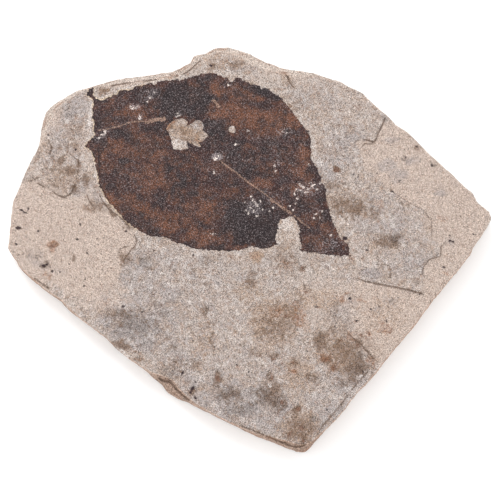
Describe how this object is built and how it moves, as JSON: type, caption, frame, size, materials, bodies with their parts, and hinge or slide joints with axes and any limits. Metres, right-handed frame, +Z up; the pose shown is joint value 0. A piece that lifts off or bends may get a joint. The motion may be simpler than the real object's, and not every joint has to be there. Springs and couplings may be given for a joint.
{
  "type": "fossil leaf plate",
  "caption": "Broken plate of thin-bedded pale marl, lying flat, with a carbonised fossil leaf in its own imprint on the upper bedding face.",
  "frame": {"origin": "under the middle of the plate, on the surface that it rests on", "axes": "+X along the plate's longest side to side extent, +Y away from the leaf's lower edge, +Z up through the plate, out of the bedding face that carries the leaf"},
  "size_m": [0.1634, 0.1396, 0.0103],
  "materials": {
    "marl": "pale beige and grey marl, rough bedding face, thin-bedded broken sides",
    "carbonised_leaf": "dark brown to black carbon film, slightly glossier than the stone"
  },
  "bodies": {
    "root": {"slab": "marl", "leaf": "carbonised_leaf"}
  },
  "joints": []
}
